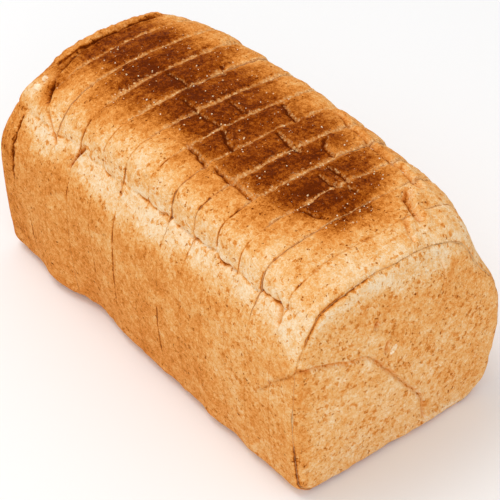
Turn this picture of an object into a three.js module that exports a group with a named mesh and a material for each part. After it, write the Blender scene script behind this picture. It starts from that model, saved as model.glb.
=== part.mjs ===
// A sliced wholemeal tin loaf: a heel at each end and thirteen slices that still stand together.
// Millimetres. X runs along the loaf to its near heel, Y goes across it, Z is up from its underside.
import * as THREE from "three";
import { mergeVertices } from "three/addons/utils/BufferGeometryUtils.js";

// Driving dimensions of the loaf
const RIM_LENGTH = 236;
const WIDTH = 120;
const END_DOME = 3.5;
const RIM_ROUND = 5;
const RIM_STEPS = 4;
const END_TAPER = { far: 3, near: 1 };
const TIN_RIM_HEIGHT = 61;
const WALL_TAPER = 1.4;
const SHOULDER_LENGTH = 34;
const CORE_HEIGHT = 60;

// Cuts, from the far heel to the near one
const FIRST_CUT = -104.5;
const CUT_GAP = 0.4;
const SLICE_THICKNESS = [13, 17, 18, 19, 19, 18.5, 17, 17, 16, 17, 16, 17, 16];
const SIDE_SLIP = 0.3;

const cuts = [FIRST_CUT];
for (const thickness of SLICE_THICKNESS) cuts.push(cuts.at(-1) + thickness);

// Where the foot of the left wall swells out of line, or falls short of it
const FOOT_SWELLS = [
  { at: -75, reach: 22, out: 3 },
  { at: -40, reach: 26, out: -2.8 },
  { at: 54, reach: 12, out: 1.3 },
  { at: 80, reach: 14, out: 0.9 },
];

// Forms that change along the loaf: their size at the far end, in the middle and at the near end
const TOP_HEIGHT = { far: 110, middle: 116.5, near: 114 };
const END_FALL = { far: 10, near: 8 };
const SIDES = {
  left: {
    bottomRound: 10,
    footSwells: FOOT_SWELLS,
    overhang: 1,
    wallBulge: { far: 0.5, middle: 1.2, near: 1.2 },
    creaseHeight: { far: 87, middle: 94.5, near: 98 },
    creaseInset: { far: 11, middle: 11, near: 10.5 },
    fullness: { far: 0.3, middle: 0.88, near: 0.62 },
    endPull: { far: 7, near: 3.5 },
  },
  right: {
    bottomRound: 18,
    footSwells: [],
    overhang: 2.5,
    wallBulge: { far: 0.5, middle: 0.8, near: 3 },
    creaseHeight: { far: 91, middle: 96, near: 89.5 },
    creaseInset: { far: 8, middle: 4.2, near: 8 },
    fullness: { far: 0.68, middle: 0.92, near: 0.68 },
    endPull: { far: 10, near: 26 },
  },
};

// Creases in the top crust, as strokes on the plan: from, to, depth and half width
const TOP_CREASES = [
  { from: [1, -24], to: [17, -29], depth: 1.6, reach: 4 },
  { from: [21, -26], to: [49, -27], depth: 1.8, reach: 4 },
  { from: [4, -6], to: [17, -14], depth: 1.4, reach: 4 },
  { from: [4, 28], to: [16, 24], depth: 1.4, reach: 4 },
  { from: [37, 42], to: [50, 40], depth: 1.4, reach: 4 },
  { from: [52, 40], to: [86, 36], depth: 1.8, reach: 4.5 },
  { from: [90, 28], to: [103, 23], depth: 3, reach: 5.5 },
];

// Folds in the dough of the near end face, as strokes across and up the face
const END_FOLDS = [
  { from: [-58, 75], to: [-25, 69], depth: 1.1, reach: 6 },
  { from: [-14, 58], to: [14, 21], depth: 1.2, reach: 6 },
];

// Steps round half a section
const STEPS = { bottom: 2, corner: 4, wall: 3, ledge: 4, cap: 13 };
const HALF_STEPS = Object.values(STEPS).reduce((sum, count) => sum + count, 0);
const ROUND_STEPS = 2 * HALF_STEPS;
const ROW_SPACING = 4.5;
const FACE_RINGS = 12;

// A form's size at a place between the far end, -1, and the near end, 1
function along(form, place) {
  const slope = (form.near - form.far) / 2;
  const bend = (form.near + form.far) / 2 - form.middle;
  return form.middle + slope * place + bend * place * place;
}

// How far the crust has turned down towards an end: 0 on the barrel and 1 at the rim
function endTurn(x) {
  const into = Math.max(Math.abs(x) - (RIM_LENGTH / 2 - SHOULDER_LENGTH), 0) / SHOULDER_LENGTH;
  return 1 - Math.sqrt(1 - Math.min(into, 1) ** 2);
}

// How far the foot of a wall stands out of line at x
function footSwell(swells, x) {
  return swells.reduce((sum, { at, reach, out }) => {
    const near = Math.max(1 - Math.abs(x - at) / reach, 0);
    return sum + out * near * near * (3 - 2 * near);
  }, 0);
}

function curve(from, first, second, to, steps) {
  const points = [from, first, second, to].map((p) => new THREE.Vector2(...p));
  return new THREE.CubicBezierCurve(...points).getPoints(steps).slice(1);
}

// Half a section at x, from the middle of the underside round to the middle of the top
function halfSection(x, side) {
  const place = THREE.MathUtils.clamp((2 * x) / RIM_LENGTH, -1, 1);
  const end = x < 0 ? "far" : "near";
  const turn = endTurn(x);
  const top = along(TOP_HEIGHT, place) - END_FALL[end] * turn;
  const pull = side.endPull[end] * turn;
  const inset = along(side.creaseInset, place);
  const rim = WIDTH / 2;
  const swollen = footSwell(side.footSwells, x);
  const foot = rim - WALL_TAPER + swollen;
  const crease = rim - inset - pull / 2;
  const creaseZ = along(side.creaseHeight, place) - 0.3 * pull;
  const rise = creaseZ - TIN_RIM_HEIGHT;
  const full = along(side.fullness, place);
  const flat = foot - side.bottomRound;
  const cornerTop = [foot, side.bottomRound];
  const wallTop = [rim, TIN_RIM_HEIGHT];
  const soft = 0.45 * side.bottomRound;
  const belly = rim + 1.3 * along(side.wallBulge, place) + swollen / 2;
  const bellyZ = (TIN_RIM_HEIGHT + 2 * side.bottomRound) / 3;
  return [
    new THREE.Vector2(0, 0),
    ...curve([0, 0], [flat / 3, 0], [(2 * flat) / 3, 0], [flat, 0], STEPS.bottom),
    ...curve([flat, 0], [foot - soft, 0], [foot, soft], cornerTop, STEPS.corner),
    ...curve(cornerTop, [belly, bellyZ], [belly, TIN_RIM_HEIGHT - 8], wallTop, STEPS.wall),
    ...curve(
      wallTop,
      [rim - 0.12 * pull, TIN_RIM_HEIGHT + rise / 2],
      [crease + 0.55 * inset, creaseZ - rise / 4],
      [crease, creaseZ],
      STEPS.ledge,
    ),
    ...curve(
      [crease, creaseZ],
      [crease + 1.5 * side.overhang, creaseZ + full * (top - creaseZ)],
      [full * crease - pull / 2, top],
      [0, top],
      STEPS.cap,
    ),
  ];
}

// A whole section at x, as one closed round of points
function section(x) {
  const right = halfSection(x, SIDES.right);
  const left = halfSection(x, SIDES.left).map((p) => new THREE.Vector2(-p.x, p.y));
  return [...right, ...left.slice(1, -1).reverse()];
}

// The share of its full section that the crust still has at x, where the rim rounds off
function rimShare(x) {
  const into = Math.max(Math.abs(x) - (RIM_LENGTH / 2 - RIM_ROUND), 0);
  const inset = RIM_ROUND - Math.sqrt(Math.max(RIM_ROUND ** 2 - into ** 2, 0));
  return 1 - inset / (WIDTH / 2);
}

// How far an end face leans in below the rim of the tin, from the outer cut to the end
function endTaper(x, z) {
  const low = Math.max(1 - z / TIN_RIM_HEIGHT, 0);
  const far = THREE.MathUtils.smoothstep(cuts[0] - x, 0, RIM_LENGTH / 2 + cuts[0]);
  const near = THREE.MathUtils.smoothstep(x - cuts.at(-1), 0, RIM_LENGTH / 2 - cuts.at(-1));
  return low * (near * END_TAPER.near - far * END_TAPER.far);
}

// Depth at a point of the valleys that a list of strokes presses into the crust
function valleys(strokes, a, b) {
  let depth = 0;
  for (const { from, to, depth: deep, reach } of strokes) {
    const dx = to[0] - from[0];
    const dy = to[1] - from[1];
    const t = ((a - from[0]) * dx + (b - from[1]) * dy) / (dx * dx + dy * dy);
    const near = THREE.MathUtils.clamp(t, 0, 1);
    const away = Math.hypot(a - from[0] - near * dx, b - from[1] - near * dy);
    depth = Math.max(depth, deep * (1 - THREE.MathUtils.smoothstep(away, 0, reach)));
  }
  return depth;
}

// Low swells of the risen crust
function swell(x, y) {
  return 0.5 * Math.sin(x / 11) * Math.cos(y / 13) + 0.3 * Math.sin(x / 5 + y / 9);
}

// Where a drum's vertex goes: share is its distance from the drum's axis, step its place round it
function place(share, step, x, sections) {
  if (!sections.has(x)) sections.set(x, section(x));
  const edge = sections.get(x)[step];
  const point = new THREE.Vector3(x, share * edge.x, CORE_HEIGHT + share * (edge.y - CORE_HEIGHT));
  const onTop = THREE.MathUtils.smoothstep(edge.y, 90, 105);
  if (share > 0.9) point.z += onTop * (swell(x, point.y) - valleys(TOP_CREASES, x, point.y));
  point.x -= endTaper(x, point.z);
  if (x > RIM_LENGTH / 2 - 1) {
    const inward = THREE.MathUtils.smoothstep(1 - share, 0.03, 0.1);
    point.x -= inward * valleys(END_FOLDS, point.y, point.z);
  }
  return point;
}

// One piece of the loaf: a drum whose profile is [share, x] pairs, bent to the loaf's form
function piece(name, profile, slip, material) {
  const drum = new THREE.LatheGeometry(
    profile.map(([share, x]) => new THREE.Vector2(share, x)),
    ROUND_STEPS,
  );
  const position = drum.getAttribute("position");
  const sections = new Map();
  for (let i = 0; i < position.count; i += 1) {
    const row = profile[i % profile.length];
    const step = Math.floor(i / profile.length) % ROUND_STEPS;
    const point = place(row[0], step, row[1], sections);
    position.setXYZ(i, point.x, point.y + slip, point.z);
  }
  const mesh = new THREE.Mesh(closed(drum), material);
  mesh.name = name;
  return mesh;
}

// The drum with its seam and poles merged, so that it is one closed surface
function closed(drum) {
  drum.deleteAttribute("normal");
  drum.deleteAttribute("uv");
  const merged = mergeVertices(drum, 1e-3);
  const corners = [];
  for (let i = 0; i < merged.index.count; i += 3) {
    const [a, b, c] = [0, 1, 2].map((k) => merged.index.getX(i + k));
    if (a !== b && b !== c && c !== a) corners.push(a, b, c);
  }
  merged.setIndex(corners);
  merged.computeVertexNormals();
  return merged;
}

// Rows of crust from one x to another
function crustRows(from, to) {
  const count = Math.max(1, Math.round(Math.abs(to - from) / ROW_SPACING));
  return Array.from({ length: count + 1 }, (_, i) => {
    const x = from + ((to - from) * i) / count;
    return [rimShare(x), x];
  });
}

// Rings of a domed end face, from its middle out to its rim
function faceRings(sign) {
  const rim = rimShare(RIM_LENGTH / 2);
  return Array.from({ length: FACE_RINGS }, (_, i) => {
    const out = i / FACE_RINGS;
    return [rim * out, sign * (RIM_LENGTH / 2 + END_DOME * (1 - out * out))];
  });
}

// The rounded rim of an end, from the end face back on to the barrel
function rimRows(sign) {
  return Array.from({ length: RIM_STEPS }, (_, i) => {
    const angle = (Math.PI / 2) * (1 - i / RIM_STEPS);
    const x = sign * (RIM_LENGTH / 2 - RIM_ROUND * (1 - Math.sin(angle)));
    return [rimShare(x), x];
  });
}

const baked = { roughness: 0.8, metalness: 0 };
const sliceCrust = new THREE.MeshStandardMaterial({ color: 0xd09a58, ...baked });
const heelCrust = new THREE.MeshStandardMaterial({ color: 0xdb9c55, ...baked });

// How far the saw and handling have moved a piece sideways against its neighbours
const slipOf = (number) => SIDE_SLIP * Math.sin(2.4 * number);

function farHeel() {
  const cut = cuts[0] - CUT_GAP / 2;
  const barrel = crustRows(RIM_ROUND - RIM_LENGTH / 2, cut);
  const profile = [...faceRings(-1), ...rimRows(-1), ...barrel, [0, cut]];
  return piece("heel_far", profile, slipOf(0), heelCrust);
}

function slice(number) {
  const from = cuts[number - 1] + CUT_GAP / 2;
  const to = cuts[number] - CUT_GAP / 2;
  const name = "slice_" + String(number).padStart(2, "0");
  const profile = [[0, from], ...crustRows(from, to), [0, to]];
  return piece(name, profile, slipOf(number), sliceCrust);
}

function nearHeel() {
  const cut = cuts.at(-1) + CUT_GAP / 2;
  const outer = [...faceRings(1), ...rimRows(1)].filter(([, x]) => x > cut + CUT_GAP);
  const profile = [[0, cut], [rimShare(cut), cut], ...outer.reverse()];
  return piece("heel_near", profile, slipOf(cuts.length), heelCrust);
}

const group = new THREE.Group();
group.add(farHeel());
SLICE_THICKNESS.forEach((_, i) => group.add(slice(i + 1)));
group.add(nearHeel());

export default group;
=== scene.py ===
# %% [markdown]
# # A sliced wholemeal tin loaf
# The real loaf is one lump of dough, baked in a tin and then cut by a row of thin saw blades. Its
# slices still stand together, so it reads as one loaf with fine cuts across its top. The packed
# model gives each slice its place and its size. This script models the crust of each slice again
# with many more faces, presses the creases and torn edges into it, and paints the bake on it.

import math

import bmesh
import bpy
import numpy as np
from mathutils import Matrix, Vector


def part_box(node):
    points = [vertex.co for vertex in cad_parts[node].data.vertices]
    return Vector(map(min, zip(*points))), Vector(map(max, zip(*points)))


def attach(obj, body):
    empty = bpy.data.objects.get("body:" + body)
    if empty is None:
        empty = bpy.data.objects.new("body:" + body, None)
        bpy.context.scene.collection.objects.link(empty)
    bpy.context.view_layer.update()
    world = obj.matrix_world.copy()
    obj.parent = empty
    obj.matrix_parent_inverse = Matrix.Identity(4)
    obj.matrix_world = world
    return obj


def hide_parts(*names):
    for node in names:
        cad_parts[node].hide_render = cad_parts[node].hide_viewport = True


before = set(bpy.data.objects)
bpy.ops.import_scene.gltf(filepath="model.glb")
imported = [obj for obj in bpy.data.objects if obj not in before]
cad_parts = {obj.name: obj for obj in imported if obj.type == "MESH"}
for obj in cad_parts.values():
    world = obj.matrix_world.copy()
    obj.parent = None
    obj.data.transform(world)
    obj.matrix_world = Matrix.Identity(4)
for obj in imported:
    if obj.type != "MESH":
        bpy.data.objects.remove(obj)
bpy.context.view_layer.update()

# %% [markdown]
# ## The camera
# A loaf on a table is seen from one end, a little from above, with a long lens that keeps its far
# end almost as large as its near one. A camera could be aimed with a Track To constraint. Here its
# three axes are worked out from two angles and a small roll, so nothing has to be solved first.

# %% Aim the camera
AZIMUTH, ELEVATION, ROLL = (math.radians(angle) for angle in (53.7, 40.1, -2.45))
LOOK_AT = Vector((0.01114, -0.00133, 0.04745))
DISTANCE = 0.9876
LENS = 149.5


def aimed(azimuth, elevation, roll, target, distance):
    """Where a camera stands and how it turns to look at a target from two angles"""
    level = math.cos(elevation)
    back = Vector((math.sin(azimuth) * level, -math.cos(azimuth) * level, math.sin(elevation)))
    right = Vector((math.cos(azimuth), math.sin(azimuth), 0))
    axes = Matrix((right, back.cross(right), back)).transposed()
    turn = axes @ Matrix.Rotation(roll, 3, "Z")
    return Matrix.Translation(target + back * distance) @ turn.to_4x4()


def shown(name, data):
    """A new object in the scene that shows this data"""
    made = bpy.data.objects.new(name, data)
    bpy.context.collection.objects.link(made)
    return made


camera = shown("camera", bpy.data.cameras.new("camera"))
camera.data.lens = LENS
camera.matrix_world = aimed(AZIMUTH, ELEVATION, ROLL, LOOK_AT, DISTANCE)
bpy.context.scene.camera = camera
print("camera stands at", tuple(round(c, 3) for c in camera.matrix_world.translation))

# %% [markdown]
# ## Floor and light
# The loaf stands on a bright white sweep under large soft lights. One broad lamp high above its far
# half brings out the folds, a second one lights the near end, and the pale world fills the shadows.
# The Standard view shows a painted colour as it was chosen, so the bake can be judged by eye.

# %% Lay the floor
FLOOR_SIZE = 6.0
FLOOR_WHITE, FLOOR_ROUGHNESS = 0.93, 0.9


def blank_finish(name):
    """A new material, its node tree and the inputs of its shader"""
    finish = bpy.data.materials.new(name)
    finish.use_nodes = True
    tree = finish.node_tree
    return finish, tree, tree.nodes["Principled BSDF"].inputs


floor = shown("floor", bpy.data.meshes.new("floor"))
floor_shape = bmesh.new()
bmesh.ops.create_grid(floor_shape, x_segments=1, y_segments=1, size=FLOOR_SIZE / 2)
floor_shape.to_mesh(floor.data)
floor_shape.free()

floor_finish, _, inputs = blank_finish("white sweep")
inputs["Base Color"].default_value = (FLOOR_WHITE, FLOOR_WHITE, FLOOR_WHITE, 1)
inputs["Roughness"].default_value = FLOOR_ROUGHNESS
floor.data.materials.append(floor_finish)
print("a floor", FLOOR_SIZE, "m across")

# %% Hang the lamps
WORLD_LIGHT = 0.72
LOAF_MIDDLE = Vector((0, 0, 0.05))
# Each lamp's place and size in metres, and its power in watts
LAMPS = {
    "key lamp": ((-0.35, -0.25, 1.1), 0.6, 5),
    "front lamp": ((1.2, -0.6, 0.7), 0.8, 4),
}


def lamp(name, place, size, power):
    """A square soft lamp that looks at the middle of the loaf"""
    light = shown(name, bpy.data.lights.new(name, "AREA"))
    light.data.size = size
    light.data.energy = power
    turn = (LOAF_MIDDLE - Vector(place)).to_track_quat("-Z", "Y")
    light.matrix_world = Matrix.Translation(place) @ turn.to_matrix().to_4x4()


for name, (place, size, power) in LAMPS.items():
    lamp(name, place, size, power)
world = bpy.data.worlds.new("pale room")
world.use_nodes = True
sky = world.node_tree.nodes["Background"].inputs
sky["Color"].default_value = (1, 1, 1, 1)
sky["Strength"].default_value = WORLD_LIGHT
bpy.context.scene.world = world
bpy.context.scene.view_settings.view_transform = "Standard"
print("lit by", " and ".join(LAMPS))

# %% [markdown]
# ## Where the cuts run
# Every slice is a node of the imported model, and two slices in a row share a cut. The cuts are read
# from the nodes' boxes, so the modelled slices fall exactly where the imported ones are. From here on
# the loaf is measured in millimetres, as a baker's rule would, and only the finished mesh is
# brought to Blender's metres.

# %% Read the cuts
MM = 0.001
SLICES = [f"slice_{number:02d}" for number in range(1, 14)]
PIECES = ["heel_far", *SLICES, "heel_near"]

span = {}
for name in PIECES:
    low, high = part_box(name)
    span[name] = (low.x / MM, high.x / MM)
cuts = [(span[a][1] + span[b][0]) / 2 for a, b in zip(PIECES, PIECES[1:])]
print("cuts at", [round(cut, 1) for cut in cuts])

# %% [markdown]
# ## The loaf's form
# A tin gives the loaf flat walls. Above its rim the dough rises free: the side leans in over a pale
# ledge to a crease, and the top swells out again from there. Each half section is five soft curves,
# and each size changes along the loaf, because no two ends of a loaf rise alike. A lattice or a
# sculpt could give the same form, but these few sizes are easy to read and to change.

# %% Sizes of the sections
RIM_LENGTH = 236
WIDTH = 120
END_DOME = 2.6
RIM_ROUND = 5
TIN_RIM_HEIGHT = 61
WALL_TAPER = 1.4
SHOULDER_LENGTH = 34
CORE_HEIGHT = 60
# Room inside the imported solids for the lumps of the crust
ROOM = 0.5

# Triples are sizes at the far end, in the middle and at the near end, pairs those of the far and
# the near half
TOP_HEIGHT = (110, 116.5, 114)
END_FALL = (10, 8)
LEFT = {
    "side": -1,
    "bottom_round": 10,
    "overhang": 1,
    "wall_bulge": (0.5, 1.2, 1.2),
    "crease_height": (87, 94.5, 98),
    "crease_inset": (11, 11, 10.5),
    "fullness": (0.3, 0.88, 0.62),
    "end_pull": (7, 3.5),
}
RIGHT = {
    "side": 1,
    "bottom_round": 18,
    "overhang": 2.5,
    "wall_bulge": (0.5, 0.8, 3),
    "crease_height": (91, 96, 89.5),
    "crease_inset": (8, 4.2, 8),
    "fullness": (0.68, 0.92, 0.68),
    "end_pull": (10, 26),
}
# Where the left wall's foot stands out of line: place, reach and distance
FOOT_SWELLS = [(-75, 22, 3), (-40, 26, -2.8), (54, 12, 1.3), (80, 14, 0.9)]
print("a loaf", RIM_LENGTH, "mm long,", WIDTH, "mm wide and", TOP_HEIGHT[1], "mm high")


# %% Curves of half a section
def smooth(value, low, high):
    """0 below low, 1 above high and an even S between them"""
    share = np.clip((value - low) / (high - low), 0, 1)
    return share * share * (3 - 2 * share)


def along(form, x):
    """A size at x, from its values at the far end, in the middle and at the near end"""
    far, middle, near = form
    place = np.clip(2 * x / RIM_LENGTH, -1, 1)
    return middle + (near - far) / 2 * place + ((near + far) / 2 - middle) * place**2


def at_end(pair, x):
    """The first of a pair for the far half of the loaf and the second for the near half"""
    return np.where(x < 0, pair[0], pair[1])


def end_turn(x):
    """How far the crust has turned down towards an end"""
    into = np.clip((np.abs(x) - (RIM_LENGTH / 2 - SHOULDER_LENGTH)) / SHOULDER_LENGTH, 0, 1)
    return 1 - np.sqrt(1 - into**2)


def foot_swell(x):
    """How far the foot of the left wall stands out of line"""
    return sum(
        out * smooth(1 - np.abs(x - place) / reach, 0, 1) for place, reach, out in FOOT_SWELLS
    )


def bezier(corners, steps):
    """Points of one cubic curve for every row, where a corner is a pair of rows of numbers"""
    a, b, c, d = (np.stack(np.broadcast_arrays(*corner), -1)[:, None] for corner in corners)
    t = np.linspace(0, 1, steps)[None, :, None]
    return a * (1 - t) ** 3 + 3 * b * t * (1 - t) ** 2 + 3 * c * t * t * (1 - t) + d * t**3


# Points of each curve. The foot ends and the side starts at the bend's middle point
BOTTOM_POINTS, BEND_POINTS, WALL_POINTS, LEDGE_POINTS, CAP_POINTS = 30, 21, 40, 40, 80
BEND_MID = BEND_POINTS // 2


def half_section(x, form):
    """The foot, the side up to the crease and the cap of one half, for every x"""
    zero = np.zeros_like(x)
    turn = end_turn(x)
    top = along(TOP_HEIGHT, x) - at_end(END_FALL, x) * turn
    pull = at_end(form["end_pull"], x) * turn
    inset = along(form["crease_inset"], x)
    swollen = foot_swell(x) if form["side"] < 0 else zero
    rim = WIDTH / 2 + zero
    foot = rim - WALL_TAPER + swollen
    crease = rim - inset - pull / 2
    crease_z = along(form["crease_height"], x) - 0.3 * pull
    rise = crease_z - TIN_RIM_HEIGHT
    full = along(form["fullness"], x)
    corner = form["bottom_round"] + zero
    belly = rim + 1.3 * along(form["wall_bulge"], x) + swollen / 2
    belly_z = (TIN_RIM_HEIGHT + 2 * corner) / 3
    rim_z = TIN_RIM_HEIGHT + zero

    flat = foot - corner
    soft = 0.45 * corner
    bottom = bezier(
        [(zero, zero), (flat / 3, zero), (2 * flat / 3, zero), (flat, zero)], BOTTOM_POINTS
    )
    bend = bezier([(flat, zero), (foot - soft, zero), (foot, soft), (foot, corner)], BEND_POINTS)
    wall = bezier([(foot, corner), (belly, belly_z), (belly, rim_z - 8), (rim, rim_z)], WALL_POINTS)
    ledge = bezier(
        [
            (rim, rim_z),
            (rim - 0.12 * pull, rim_z + rise / 2),
            (crease + 0.55 * inset, crease_z - rise / 4),
            (crease, crease_z),
        ],
        LEDGE_POINTS,
    )
    cap = bezier(
        [
            (crease, crease_z),
            (crease + 1.5 * form["overhang"], crease_z + full * (top - crease_z)),
            (full * crease - pull / 2, top),
            (zero, top),
        ],
        CAP_POINTS,
    )
    foot_part = np.concatenate([bottom, bend[:, 1 : BEND_MID + 1]], 1)
    side_part = np.concatenate([bend[:, BEND_MID:], wall[:, 1:], ledge[:, 1:]], 1)
    return foot_part, side_part, cap


for form in (LEFT, RIGHT):
    crease = half_section(np.zeros(1), form)[2][0, 0]
    print("in the middle the crease of side", form["side"], "is at", np.round(crease, 1))


# %% [markdown]
# ## From a box to a loaf
# A tin loaf is a box at heart, so each slice starts as a cube whose long faces are cut into a fine
# grid. Its flat sides become the base, the walls and the top, and one edge of the cube on each
# side becomes the crease. An end face keeps a square grid too, which has no pinched point in its
# middle as a round cap would.

# %% Cut a cube into a fine grid
TOP_STEPS = 216
WALL_STEPS = 160
HALF_TOP = TOP_STEPS // 2


def gridded_box(rows, open_ends):
    """A cube of side 2 with that many rows along X, open at the ends where it meets a cut"""
    box = bmesh.new()
    bmesh.ops.create_cube(box, size=2)
    cut_faces = [face for face in box.faces if round(face.normal.x) in open_ends]
    bmesh.ops.delete(box, geom=cut_faces, context="FACES_ONLY")
    for axis, steps in enumerate((rows, TOP_STEPS, WALL_STEPS)):
        lines = [
            edge
            for edge in box.edges
            if abs(edge.verts[0].co[axis] - edge.verts[1].co[axis]) > 1.9
        ]
        bmesh.ops.subdivide_edges(box, edges=lines, cuts=steps - 1, use_grid_fill=True)
    return box


# %% Bend the box to the sections
def stepped(line, steps):
    """The rows of a line, moved to even steps along it"""
    length = np.linalg.norm(np.diff(line, axis=1), axis=2)
    run = np.concatenate([np.zeros((len(line), 1)), np.cumsum(length, axis=1)], 1)
    even = np.linspace(0, 1, steps + 1)
    return np.stack(
        [
            [np.interp(even, r / r[-1], points[:, k]) for r, points in zip(run, line)]
            for k in (0, 1)
        ],
        -1,
    )


# How far to each side the crease between ledge and cap is rounded, and how wide the blur is, both
# in steps of the grid
CREASE_SOFTNESS = {-1: (22, 8), 1: (45, 20)}


def softened(half, middle, reach, width):
    """Half sections with the corner at one of their points rounded off"""
    spread = 3 * width
    weight = np.exp(-((np.arange(-spread, spread + 1) / width) ** 2) / 2)
    weight /= weight.sum()
    share = np.exp(-((np.arange(-reach, reach + 1) / (0.6 * reach)) ** 2))
    near = slice(middle - reach, middle + reach + 1)
    around = slice(middle - reach - spread, middle + reach + spread + 1)
    for row in half:
        for k in (0, 1):
            blurred = np.convolve(row[around, k], weight, "valid")
            row[near, k] += share * (blurred - row[near, k])
    return half


def ring_table(x):
    """The section at every x, stepped all the way round from the middle of the base"""
    halves = []
    for form in (RIGHT, LEFT):
        foot, side, cap = half_section(x, form)
        parts = [
            stepped(foot, HALF_TOP),
            stepped(side, WALL_STEPS)[:, 1:],
            stepped(cap, HALF_TOP)[:, 1:],
        ]
        half = np.concatenate(parts, 1)
        half = softened(half, HALF_TOP + WALL_STEPS, *CREASE_SOFTNESS[form["side"]])
        half[..., 0] *= form["side"]
        halves.append(half)
    return np.concatenate([halves[0], halves[1][:, -2::-1]], 1)


# Place of every point round a section: 0 and 8 are the middle of the base, 1 and 7 the ends of the
# foot, 3 and 5 the creases and 4 the middle of the top
RING_PLACES = np.concatenate(
    [
        np.linspace(0, 1, HALF_TOP + 1),
        np.linspace(1, 3, WALL_STEPS + 1)[1:],
        np.linspace(3, 5, TOP_STEPS + 1)[1:],
        np.linspace(5, 7, WALL_STEPS + 1)[1:],
        np.linspace(7, 8, HALF_TOP + 1)[1:],
    ]
)


def ring_place(y, z):
    """Where a point of the cube stands round it: 0 at the base's middle, 4 at the top's middle"""
    reach = np.maximum(np.maximum(np.abs(y), np.abs(z)), 1e-9)
    y, z = y / reach, z / reach
    base = np.where(y >= 0, y, 8 + y)
    wall = np.where(y > 0, 2 + z, 6 - z)
    flat = np.where(z > 0, 4 - y, base)
    return np.where(np.abs(z) >= np.abs(y) - 1e-6, flat, wall), reach


print("points round a section:", len(RING_PLACES) - 1)


# %% [markdown]
# Along the loaf the rows run straight from one cut to the next. On a heel they carry on over the
# rounded rim to the domed end face, so a run is measured along the crust and not along X.

# %% Rows along the crust
def run_of(x):
    """Distance along the crust from the middle of the loaf to a place x, below 0 in its far half"""
    bend = np.clip((abs(x) - (RIM_LENGTH / 2 - RIM_ROUND)) / RIM_ROUND, 0, 1)
    straight = min(abs(x), RIM_LENGTH / 2 - RIM_ROUND)
    return math.copysign(straight + RIM_ROUND * math.asin(bend), x)


RIM_RUN = run_of(RIM_LENGTH / 2)
print("from the middle to the rim the crust runs", round(RIM_RUN, 1), "mm")


def x_and_share(run):
    """The place x of a run, and the share of the full section that the rim's rounding leaves"""
    angle = np.maximum(np.abs(run) - (RIM_LENGTH / 2 - RIM_ROUND), 0) / RIM_ROUND
    x = np.minimum(np.abs(run), RIM_LENGTH / 2 - RIM_ROUND) + RIM_ROUND * np.sin(angle)
    return np.sign(run) * x, 1 - RIM_ROUND * (1 - np.cos(angle)) / (WIDTH / 2)


def shaped(cube, name):
    """Every point of a piece's cube on the loaf, its place round the section and its rim's share"""
    low, high = span[name]
    row = (cube[:, 0] + 1) / 2
    ring, reach = ring_place(cube[:, 1], cube[:, 2])
    start = -RIM_RUN if name == "heel_far" else run_of(low)
    stop = RIM_RUN if name == "heel_near" else run_of(high)
    x, share = x_and_share(start + (stop - start) * row)
    if name not in SLICES:
        sign = -1 if name == "heel_far" else 1
        face = (np.abs(cube[:, 0] - sign) < 1e-6) & (reach < 1 - 1e-6)
        share[face] = share[face] * reach[face]
        x[face] = sign * (RIM_LENGTH / 2 + END_DOME * (1 - reach[face] ** 2))
    points = np.zeros((len(cube), 3))
    points[:, 0] = x
    section_x = np.clip(x, -RIM_LENGTH / 2, RIM_LENGTH / 2)
    rows, which = np.unique(np.round(section_x, 5), return_inverse=True)
    table = ring_table(rows)
    for number in range(len(rows)):
        mine = which == number
        for k in (0, 1):
            points[mine, k + 1] = np.interp(ring[mine], RING_PLACES, table[number, :, k])
    points[:, 1] *= share
    points[:, 2] = CORE_HEIGHT + share * (points[:, 2] - CORE_HEIGHT)
    return points, ring, share


# %% [markdown]
# ## Random lumps
# Bread is uneven at every size. The helpers below give smooth random lumps from a seeded block of
# numbers, so the same loaf comes out at every run. Blender's own noise would do, but one point at a
# time is slow for the 400,000 points of this loaf.

# %% Smooth random lumps
BLOCK = 32


def lumps(points, size, seed):
    """Smooth random lumps about this size across, from -1 to 1, at every point"""
    block = np.random.default_rng(seed).uniform(-1, 1, (BLOCK, BLOCK, BLOCK))
    at = points / size
    low = np.floor(at).astype(int)
    part = at - low
    part = part * part * (3 - 2 * part)
    total = np.zeros(len(points))
    for corner in np.ndindex(2, 2, 2):
        weight = np.prod(np.where(corner, part, 1 - part), axis=1)
        total += weight * block[tuple(((low + corner) % BLOCK).T)]
    return total


def layered(points, *layers):
    """Lumps of several sizes on top of each other, where a layer is a height, a size and a seed"""
    return sum(height * lumps(points, size, seed) for height, size, seed in layers)


print("lumps along 1 cm:", np.round(lumps(np.linspace((0, 0, 0), (10, 0, 0), 6), 3, 11), 2))
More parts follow.
